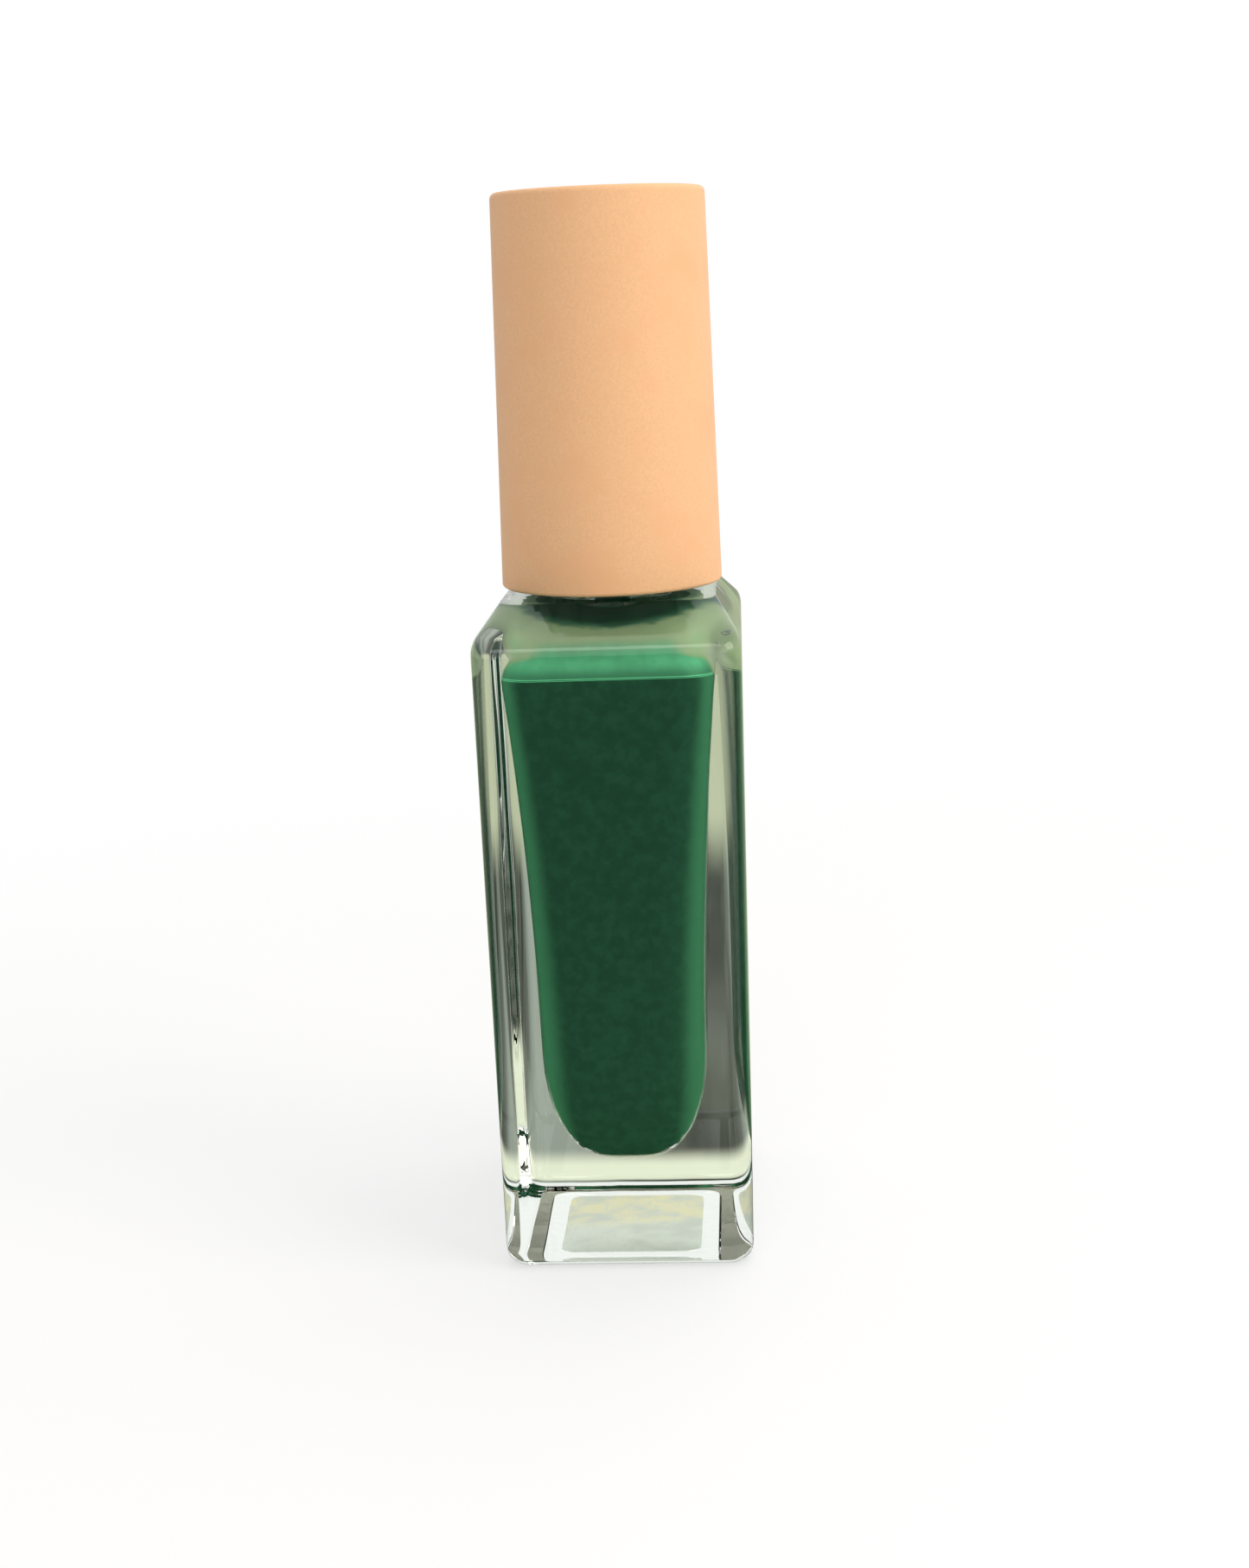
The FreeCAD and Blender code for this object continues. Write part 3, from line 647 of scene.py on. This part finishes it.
def polished_steel(f):
    """Stainless steel bearing balls, polished, with a faint tumbled haze."""
    material, tree = start_material("polished_steel")
    haze = grain(tree, 0.6, detail=4.0)
    dull = toned(f.steel, 0.9)
    hazed = add_node(tree, "ShaderNodeMix", {"Factor": haze, 6: dull, 7: f.steel}, data_type="RGBA").outputs[2]
    rough = add_node(tree, "ShaderNodeMapRange", {"Value": haze, "To Min": 0.08, "To Max": 0.22})
    return finish_material(material, Base_Color=hazed, Metallic=1.0, Roughness=rough.outputs[0])


def drawn_brass(f):
    """Brass wire, drawn: fine lines along its length."""
    material, tree = start_material("drawn_brass")
    lines = grain(tree, 0.08, stretch=(0.1, 1, 1))
    dull = toned(f.staple, 0.85)
    wire = add_node(tree, "ShaderNodeMix", {"Factor": lines, 6: dull, 7: f.staple}, data_type="RGBA").outputs[2]
    return finish_material(material, Base_Color=wire, Metallic=1.0, Roughness=0.3)


def silver_paper(f):
    """Metallised paper, yellowed towards the back: silvery, with fibres 0.3 mm wide and 1 mm long that break
    up its gloss."""
    material, tree = start_material("silver_paper")
    fibres = grain(tree, 0.3, stretch=(1, 0.3, 1), detail=3.0)
    clouds = grain(tree, 3.5)
    aged = grade(tree, f.label, f.label_aged, (place_along(tree, 1), -3 * MM, 3 * MM))
    fine = grade(tree, toned(f.label, 0.9), aged, (fibres, 0.3, 0.45))
    cloudy = grade(tree, fine, toned(f.label, 0.85), (clouds, 0.4, 0.7))
    rough = add_node(tree, "ShaderNodeMapRange", {"Value": fibres, "To Min": 0.3, "To Max": 0.5})
    relief = add_node(tree, "ShaderNodeBump", {"Height": fibres, "Strength": 1.0, "Distance": 0.01 * MM})
    return finish_material(material, Base_Color=cloudy, Metallic=0.7, Roughness=rough.outputs[0],
                           Normal=relief.outputs[0])


def dress(piece, material):
    piece.data.materials.clear()
    piece.data.materials.append(material)


def dress_node(name, material):
    """A CAD node keeps its shape and gets the material in every slot."""
    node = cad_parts[name]
    if not node.material_slots:
        node.data.materials.append(material)
    for slot in node.material_slots:
        slot.material = material


# Pieces

class POLISH_OT_glass(bpy.types.Operator):
    """Blow the bottle: cavity, neck, shoulder, walls, heel and hollow foot in one closed wall"""
    bl_idname = "polish.glass"
    bl_label = "Glass bottle"

    def execute(self, context):
        g = settings().glass
        c = settings().cavity
        levels = cavity_levels(c.roof)
        piece = start_rectangle("bottle_glass", *levels[0])
        for level in levels[1:] + roof_levels():
            draw_rim(piece, *level)
        (first_height, first_radius), *bore = bore_edge()
        draw_rim(piece, first_height, 2 * first_radius, 2 * first_radius, first_radius)
        for height, radius in bore:
            draw_rim(piece, height, 2 * radius)
        neck_top = GLASS_HIGH.z
        lip = g.bore_lip
        for height, widened in ((neck_top - lip, 0), (neck_top - 0.3 * lip, 0.3 * lip), (neck_top, lip)):
            draw_rim(piece, height, 2 * g.bore_radius + widened)
        self.draw_neck(piece, g, neck_top)
        body = (GLASS_HIGH.x - GLASS_LOW.x, GLASS_HIGH.y - GLASS_LOW.y)
        for level in reversed(shoulder_levels(g, body)):
            draw_rim(piece, *level)
        self.draw_foot(piece, g, body)
        close_ends()
        self.raise_thread(piece, g)
        smooth(piece)
        dress(piece, soda_lime_glass(settings().finishes))
        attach(piece, "bottle")
        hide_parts("glass_bottle")
        return {"FINISHED"}

    def draw_neck(self, piece, g, neck_top):
        """Over the rim and down the outside of the neck, in rings close enough to carry the thread."""
        neck = 2 * g.neck_radius
        rim = g.neck_rim
        for angle in quarter_turn(ROUND_STEPS):
            draw_rim(piece, neck_top - rim * (1 - math.cos(angle)), neck - 2 * rim * (1 - math.sin(angle)))
        thread_top = g.thread_start + THREAD_TURNS * g.thread_pitch + MM
        thread_foot = g.thread_start - MM
        for row in range(THREAD_ROWS + 1):
            draw_rim(piece, thread_top + (thread_foot - thread_top) * row / THREAD_ROWS, neck)
        root = g.neck_root
        shoulder_top = g.shoulder_start + g.shoulder_rise
        for angle in quarter_turn(ROUND_STEPS):
            widened = 2 * root * (1 - math.cos(angle))
            draw_rim(piece, shoulder_top + root * (1 - math.sin(angle)), neck + widened)

    def draw_foot(self, piece, g, body):
        """Down the walls, round the heel, across the foot ring and up into the hollow."""
        foot = (g.base_width, g.base_depth)
        wall_top = g.shoulder_start - g.edge_drop
        for share in (0.65, 0.3):
            draw_rim(piece, wall_top * share, *between(foot, body, share), g.corner)
        width, depth = between(foot, body, g.heel / wall_top)
        for angle in quarter_turn(HEEL_STEPS):
            inset = g.heel * (1 - math.cos(angle))
            draw_rim(piece, g.heel * (1 - math.sin(angle)), width - 2 * inset, depth - 2 * inset,
                     g.corner - 0.8 * inset)
        edge = 0.1 * MM
        top = g.recess_height
        for height, inset in ((0.0, -edge), (edge, 0.0), (top - edge, 0.2 * edge), (top, edge)):
            draw_rim(piece, height, g.recess_width - 2 * inset, g.recess_depth - 2 * inset, g.recess_corner)

    def raise_thread(self, piece, g):
        """A helix can't be pulled out by ring steps, so the neck's vertices move out along it."""
        low = g.thread_start - 0.9 * MM
        high = g.thread_start + THREAD_TURNS * g.thread_pitch + 0.9 * MM
        for vertex in piece.data.vertices:
            reach = math.hypot(vertex.co.x, vertex.co.y)
            if low < vertex.co.z < high and reach > g.neck_radius - 0.05 * MM:
                bulge = thread_bulge(math.atan2(vertex.co.y, vertex.co.x) % (2 * math.pi), vertex.co.z)
                grown = 1 + bulge * g.thread_height / reach
                vertex.co.x *= grown
                vertex.co.y *= grown
        piece.data.update()


class POLISH_OT_lacquer(bpy.types.Operator):
    """Fill the bottle: the liquid with its meniscus, and the coat it leaves on the glass above"""
    bl_idname = "polish.lacquer"
    bl_label = "Lacquer"

    def execute(self, context):
        self.pour_liquid(settings().lacquer)
        self.coat_glass(settings().lacquer)
        return {"FINISHED"}

    def pour_liquid(self, s):
        """The liquid against the glass, its top dished by the meniscus."""
        fill = s.fill_level
        levels = cavity_levels(fill, grow=s.wetting)
        liquid = start_rectangle("lacquer_fill", *levels[0])
        for level in levels[1:]:
            draw_rim(liquid, *level)
        width, depth, corner = cavity_ring(fill, s.wetting)
        draw_rim(liquid, fill, width, depth, corner)
        for inward, drop in ((0.15, 0.35), (0.6, 0.7), (1.5, 0.9), (3.3, 1.0)):
            inset = inward * s.meniscus
            draw_rim(liquid, fill - s.meniscus * drop, width - 2 * inset, depth - 2 * inset,
                     max(corner - inset, 0.5 * MM))
        close_ends()
        smooth(liquid, 60)
        dress(liquid, creme_lacquer(settings().finishes))
        self.enter(liquid)

    def coat_glass(self, s):
        """The coat on the glass above the liquid: out along the wall and the roof, and back inside it."""
        foot = s.fill_level - 0.1 * MM
        film = start_rectangle("lacquer_film", foot, *cavity_ring(foot, s.wetting))
        roof = [level for level in roof_levels(s.wetting) if level[0] > s.fill_level]
        for level in roof:
            draw_rim(film, *level)
        outer = bore_edge(s.wetting)
        inner = bore_edge(-s.film)
        draw_rim(film, outer[0][0], 2 * outer[0][1], 2 * outer[0][1], outer[0][1])
        for height, radius in outer[1:3] + list(reversed(inner[:3])):
            draw_rim(film, height, 2 * radius)
        for level in reversed(roof_levels(-s.film)[-len(roof):]):
            draw_rim(film, *level)
        bpy.ops.mesh.select_all(action="DESELECT")
        bpy.ops.mesh.select_non_manifold()
        bpy.ops.mesh.bridge_edge_loops()
        bpy.ops.mesh.select_all(action="SELECT")
        bpy.ops.mesh.normals_make_consistent(inside=False)
        bpy.ops.object.mode_set(mode="OBJECT")
        smooth(film, 60)
        dress(film, lacquer_film(settings().finishes))
        self.enter(film)

    def enter(self, piece):
        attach(piece, "bottle")
        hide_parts("nail_lacquer")


class POLISH_OT_cap(bpy.types.Operator):
    """Mould the outer cap: a tall shell, stepped inside, with soft edges"""
    bl_idname = "polish.cap"
    bl_label = "Outer cap"

    def execute(self, context):
        s = settings().cap
        piece = start_circle("cap_shell", s.upper_bore, s.roof, CAP_SIDES)
        low, high = CAP_LOW.z, CAP_HIGH.z
        for radius, height in ((s.upper_bore, s.step), (s.bore, s.step), (s.bore, low), (s.rim_radius, low)):
            draw_rim(piece, height, 2 * radius)
        for row in range(1, CAP_ROWS + 1):
            height, radius = between((low, s.rim_radius), (high, s.top_radius), row / CAP_ROWS)
            draw_rim(piece, height, 2 * radius)
        close_ends()
        self.round_edge(piece, high, s.top_radius, s.top_edge, 6)
        self.round_edge(piece, low, s.rim_radius, s.rim_edge, 4)
        self.round_edge(piece, low, s.bore, 0.5 * s.rim_edge, 2)
        smooth(piece, 50)
        dress(piece, soft_touch_coating(settings().finishes))
        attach(piece, "cap")
        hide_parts("outer_cap")
        # The matt cap throws no clear image on the shoulder's glass.
        piece.visible_glossy = False
        return {"FINISHED"}

    def round_edge(self, piece, height, radius, offset, segments):
        """Bevel the ring of edges at that height and radius."""
        bpy.ops.object.mode_set(mode="EDIT")
        bpy.ops.mesh.select_mode(type="EDGE")
        bpy.ops.mesh.select_all(action="DESELECT")
        mesh = bmesh.from_edit_mesh(piece.data)
        near = 0.02 * MM
        for edge in mesh.edges:
            edge.select_set(all(abs(v.co.z - height) < near and abs(math.hypot(v.co.x, v.co.y) - radius) < near
                                for v in edge.verts))
        bmesh.update_edit_mesh(piece.data)
        bpy.ops.mesh.bevel(offset=offset, segments=segments, affect="EDGES", profile=0.5, clamp_overlap=False)
        bpy.ops.object.mode_set(mode="OBJECT")


class POLISH_OT_brush(bpy.types.Operator):
    """Set the tuft: fine filaments that lean in to a wet point below the rod"""
    bl_idname = "polish.brush"
    bl_label = "Brush"

    def execute(self, context):
        s = settings().brush
        dress_node("brush_stem", lacquered_polyethylene(settings().finishes))
        filament = start_circle("filament", s.hair_radius, 0.0, 5)
        steps = 9
        for step in range(1, steps + 1):
            draw_rim(filament, step / steps * MM, 2 * s.hair_radius * (0.5 if step == steps else 1))
        close_ends()
        draws = random.Random(7)
        tuft = []
        top = BRISTLES_HIGH.z - 0.05 * MM
        golden = math.pi * (3 - math.sqrt(5))
        for index in range(s.hairs):
            share = math.sqrt((index + 0.5) / s.hairs)
            angle = golden * index
            tip = BRISTLES_LOW.z + draws.uniform(0.0, 0.9) * MM + share ** 3 * 1.6 * MM
            hair = filament.copy()
            hair.data = filament.data.copy()
            bpy.context.collection.objects.link(hair)
            self.lay_hair(hair, s, share, angle, tip, top, draws)
            tuft.append(hair)
        pick_nothing()
        for hair in tuft:
            hair.select_set(True)
        bpy.context.view_layer.objects.active = tuft[0]
        bpy.ops.object.join()
        piece = name_piece("brush_tuft")
        bpy.data.objects.remove(filament)
        smooth(piece, 80)
        dress(piece, wet_nylon(settings().finishes))
        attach(piece, "brush")
        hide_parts("brush_bristles")
        return {"FINISHED"}

    def lay_hair(self, hair, s, share, angle, tip, top, draws):
        """Bend one filament to the tuft's outline at its own place in the bundle."""
        sway = draws.uniform(-0.05, 0.05) * MM
        for vertex in hair.data.vertices:
            height = top + (tip - top) * vertex.co.z / MM
            reach = self.outline(s, height) - s.hair_radius
            spread = reach * share
            vertex.co.x += spread * math.cos(angle) + sway * vertex.co.z / MM
            vertex.co.y += spread * math.sin(angle)
            vertex.co.z = height
        hair.data.update()

    def outline(self, s, height):
        """The tuft's radius at a height."""
        if height > s.rod_end:
            return s.tuft_radius
        if height > s.belly:
            share = (s.rod_end - height) / (s.rod_end - s.belly)
            eased = share * share * (3 - 2 * share)
            return s.tuft_radius + (s.belly_radius - s.tuft_radius) * eased
        share = min(1.0, (s.belly - height) / (s.belly - BRISTLES_LOW.z))
        return s.belly_radius - (s.belly_radius - s.tip_radius) * share * share


class POLISH_OT_label(bpy.types.Operator):
    """Cut the bare label and stick it up into the hollow under the base"""
    bl_idname = "polish.label"
    bl_label = "Base label"

    def execute(self, context):
        s = settings().label
        face = settings().glass.recess_height + s.bond
        back = settings().glass.recess_height - s.thickness
        piece = start_rectangle("label_sheet", face, s.width, s.depth, s.corner)
        edge = 0.25 * s.thickness
        draw_rim(piece, back + edge, s.width, s.depth, s.corner)
        draw_rim(piece, back, s.width - 2 * edge, s.depth - 2 * edge, s.corner - edge)
        close_ends()
        smooth(piece)
        dress(piece, silver_paper(settings().finishes))
        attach(piece, "bottle")
        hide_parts("base_label")
        return {"FINISHED"}


class POLISH_OT_fittings(bpy.types.Operator):
    """Finish the inner cap, mixing balls and staple"""
    bl_idname = "polish.fittings"
    bl_label = "Inner cap and small fittings"

    def execute(self, context):
        f = settings().finishes
        dress_node("inner_cap", white_polypropylene(f))
        dress_node("mixing_balls", polished_steel(f))
        dress_node("bristle_staple", drawn_brass(f))
        return {"FINISHED"}


# Stage: metres and degrees, lens and sensor in millimetres, the shift as a share of the sensor's height

CAMERA_REACH = 0.18243
CAMERA_HEIGHT = 0.08497
CAMERA_TURN = 3.68
CAMERA_TILT = 16.3
CAMERA_ROLL = -2.28
CAMERA_LENS = 47.22
CAMERA_SHIFT = 0.0663
SENSOR_HEIGHT = 36.0
WHITE = (1, 1, 1)
WORLD_LIGHT = 0.42
# Painted reflections: what gloss on the bottle shows of the table, dark in front and pale olive behind, though
# the camera sees it white.
MIRRORED_FRONT = (0.03, 0.03, 0.03)
MIRRORED_BACK = linear("#b9bfa4")


def area_light(name, place, size, power, hex_colour, glossy):
    """A soft box that points at the bottle."""
    lamp = bpy.data.lights.new(name, "AREA")
    lamp.shape = "RECTANGLE"
    lamp.size, lamp.size_y = size
    lamp.energy = power
    lamp.color = linear(hex_colour)
    box = bpy.data.objects.new(name, lamp)
    bpy.context.scene.collection.objects.link(box)
    box.location = place
    box.rotation_euler = (Vector((0, 0, 0.05)) - Vector(place)).to_track_quat("-Z", "Y").to_euler()
    box.visible_glossy = glossy
    box.visible_camera = False


class POLISH_OT_stage(bpy.types.Operator):
    """Set the plain table, the soft light and the camera"""
    bl_idname = "polish.stage"
    bl_label = "Stage"

    def execute(self, context):
        scene = bpy.context.scene
        scene.view_settings.view_transform = "Standard"
        self.lay_floor()
        self.set_world(scene)
        area_light("key_box", (0.5, -0.2, 0.35), (0.4, 0.4), 1.85, "#fff6ec", True)
        area_light("top_box", (0.1, 0.15, 0.6), (0.5, 0.5), 1.7, "#ffffff", False)
        area_light("edge_box", (0.0, -0.5, 0.55), (0.5, 0.25), 1.0, "#ffffff", True)
        self.set_camera(scene)
        return {"FINISHED"}

    def lay_floor(self):
        pick_nothing()
        bpy.ops.mesh.primitive_plane_add(size=6, location=(0, 0, 0))
        floor = name_piece("table")
        material, tree = start_material("table_white")
        matt = add_node(tree, "ShaderNodeBsdfDiffuse", {"Color": settings().finishes.floor}).outputs[0]
        glow = add_node(tree, "ShaderNodeEmission", {"Strength": 1.0}).outputs[0]
        place = add_node(tree, "ShaderNodeTexCoord").outputs["Object"]
        reach = add_node(tree, "ShaderNodeVectorMath", {0: place}, operation="LENGTH").outputs["Value"]
        limits = {"Value": reach, "From Min": 40 * MM, "From Max": 200 * MM, "To Min": 0.6}
        far = add_node(tree, "ShaderNodeMapRange", limits, interpolation_type="SMOOTHSTEP").outputs[0]
        plain = add_node(tree, "ShaderNodeMixShader", {"Fac": far, 1: matt, 2: glow}).outputs[0]
        # Painted reflection: the table's colour for glossy rays.
        gloss = grade(tree, MIRRORED_FRONT, MIRRORED_BACK, (place_along(tree, 1), -10 * MM, 60 * MM))
        mirrored = add_node(tree, "ShaderNodeEmission", {"Color": gloss, "Strength": 1.0}).outputs[0]
        through = self.table_through_glass(tree, reach)
        refracted = add_node(tree, "ShaderNodeEmission", {"Color": through, "Strength": 1.0}).outputs[0]
        path = add_node(tree, "ShaderNodeLightPath").outputs
        shader = matt
        for ray, seen in (("Camera", plain), ("Glossy", mirrored), ("Transmission", refracted)):
            share = path[f"Is {ray} Ray"]
            shader = add_node(tree, "ShaderNodeMixShader", {"Fac": share, 1: shader, 2: seen}).outputs[0]
        add_node(tree, "ShaderNodeOutputMaterial", {"Surface": shader})
        dress(floor, material)

    def table_through_glass(self, tree, reach):
        """What glass shows of the table, in painted refractions that the camera doesn't see: pale right under
        the bottle, streaked greys behind, then cream.
        """
        streaks = grain(tree, 7.0, stretch=(1, 0.1, 1), detail=3.0)
        x, y = place_along(tree, 0), place_along(tree, 1)
        greys = grade(tree, linear("#3a3d37"), linear("#6f736a"), (streaks, 0.3, 0.7))
        paler = {"Factor": 0.75, 6: greys, 7: linear("#b3bcb2")}
        left = add_node(tree, "ShaderNodeMix", paler, data_type="RGBA").outputs[2]
        sides = grade(tree, greys, left, (x, 4 * MM, -12 * MM))
        sides = grade(tree, sides, linear("#e2e9de"), (y, -20 * MM, -50 * MM))
        behind = grade(tree, sides, linear("#c6cbae"), (y, 120 * MM, 165 * MM))
        under = grade(tree, behind, linear("#f3f6df"), (y, 24 * MM, 19 * MM))
        near = grade(tree, under, behind, (reach, 30 * MM, 45 * MM))
        return grade(tree, near, WHITE, (reach, 350 * MM, 600 * MM))

    def set_world(self, scene):
        """Plain white for what the camera sees, straight, in a gloss or in glass, and dimmer as a light."""
        world = bpy.data.worlds.new("studio")
        scene.world = world
        world.use_nodes = True
        tree = world.node_tree
        tree.nodes.clear()
        path = add_node(tree, "ShaderNodeLightPath").outputs
        seen = path["Is Camera Ray"]
        for ray in ("Is Glossy Ray", "Is Transmission Ray"):
            seen = add_node(tree, "ShaderNodeMath", {0: seen, 1: path[ray]}, operation="MAXIMUM").outputs[0]
        strength = add_node(tree, "ShaderNodeMapRange", {"Value": seen, "To Min": WORLD_LIGHT}).outputs[0]
        background = add_node(tree, "ShaderNodeBackground", {"Color": WHITE, "Strength": strength}).outputs[0]
        add_node(tree, "ShaderNodeOutputWorld", {"Surface": background})

    def set_camera(self, scene):
        tilt, turn, roll = (math.radians(a) for a in (CAMERA_TILT, CAMERA_TURN, CAMERA_ROLL))
        outward = Vector((math.sin(turn), -math.cos(turn), 0))
        back = outward * math.cos(tilt) + Vector((0, 0, math.sin(tilt)))
        right = Vector((0, 0, 1)).cross(back).normalized()
        up = back.cross(right)
        tilted_right = math.cos(roll) * right + math.sin(roll) * up
        tilted_up = math.cos(roll) * up - math.sin(roll) * right
        data = bpy.data.cameras.new("camera")
        data.sensor_fit = "VERTICAL"
        data.sensor_height = SENSOR_HEIGHT
        data.lens = CAMERA_LENS
        data.shift_y = CAMERA_SHIFT
        data.clip_start = 0.01
        camera = bpy.data.objects.new("camera", data)
        scene.collection.objects.link(camera)
        pose = Matrix((tilted_right, tilted_up, back)).transposed().to_4x4()
        pose.translation = outward * CAMERA_REACH + Vector((0, 0, CAMERA_HEIGHT))
        camera.matrix_world = pose
        scene.camera = camera


class POLISH_PT_panel(bpy.types.Panel):
    """The bottle's sizes, colours and steps"""
    bl_idname = "POLISH_PT_panel"
    bl_label = "Nail Polish Bottle"
    bl_space_type = "VIEW_3D"
    bl_region_type = "UI"
    bl_category = "Nail Polish"

    def draw(self, context):
        sizes = context.scene.nail_polish_bottle
        for group in ("glass", "cavity", "lacquer", "label", "cap", "brush", "finishes"):
            box = self.layout.box()
            box.label(text=group.capitalize())
            values = getattr(sizes, group)
            for name in values.__annotations__:
                box.prop(values, name)
        for step in STEPS:
            self.layout.operator(step.bl_idname)


STEPS = (POLISH_OT_glass, POLISH_OT_lacquer, POLISH_OT_label, POLISH_OT_cap, POLISH_OT_brush,
         POLISH_OT_fittings, POLISH_OT_stage)
CLASSES = (GlassSizes, CavitySizes, LacquerSizes, LabelSizes, CapSizes, BrushSizes, Finishes,
           NailPolishBottle, *STEPS, POLISH_PT_panel)


def register():
    for item in CLASSES:
        bpy.utils.register_class(item)
    bpy.types.Scene.nail_polish_bottle = PointerProperty(type=NailPolishBottle)


def unregister():
    del bpy.types.Scene.nail_polish_bottle
    for item in reversed(CLASSES):
        bpy.utils.unregister_class(item)


def main():
    register()
    for step in STEPS:
        group, name = step.bl_idname.split(".")
        getattr(getattr(bpy.ops, group), name)()
    pick_nothing()


if __name__ == "__main__":
    main()
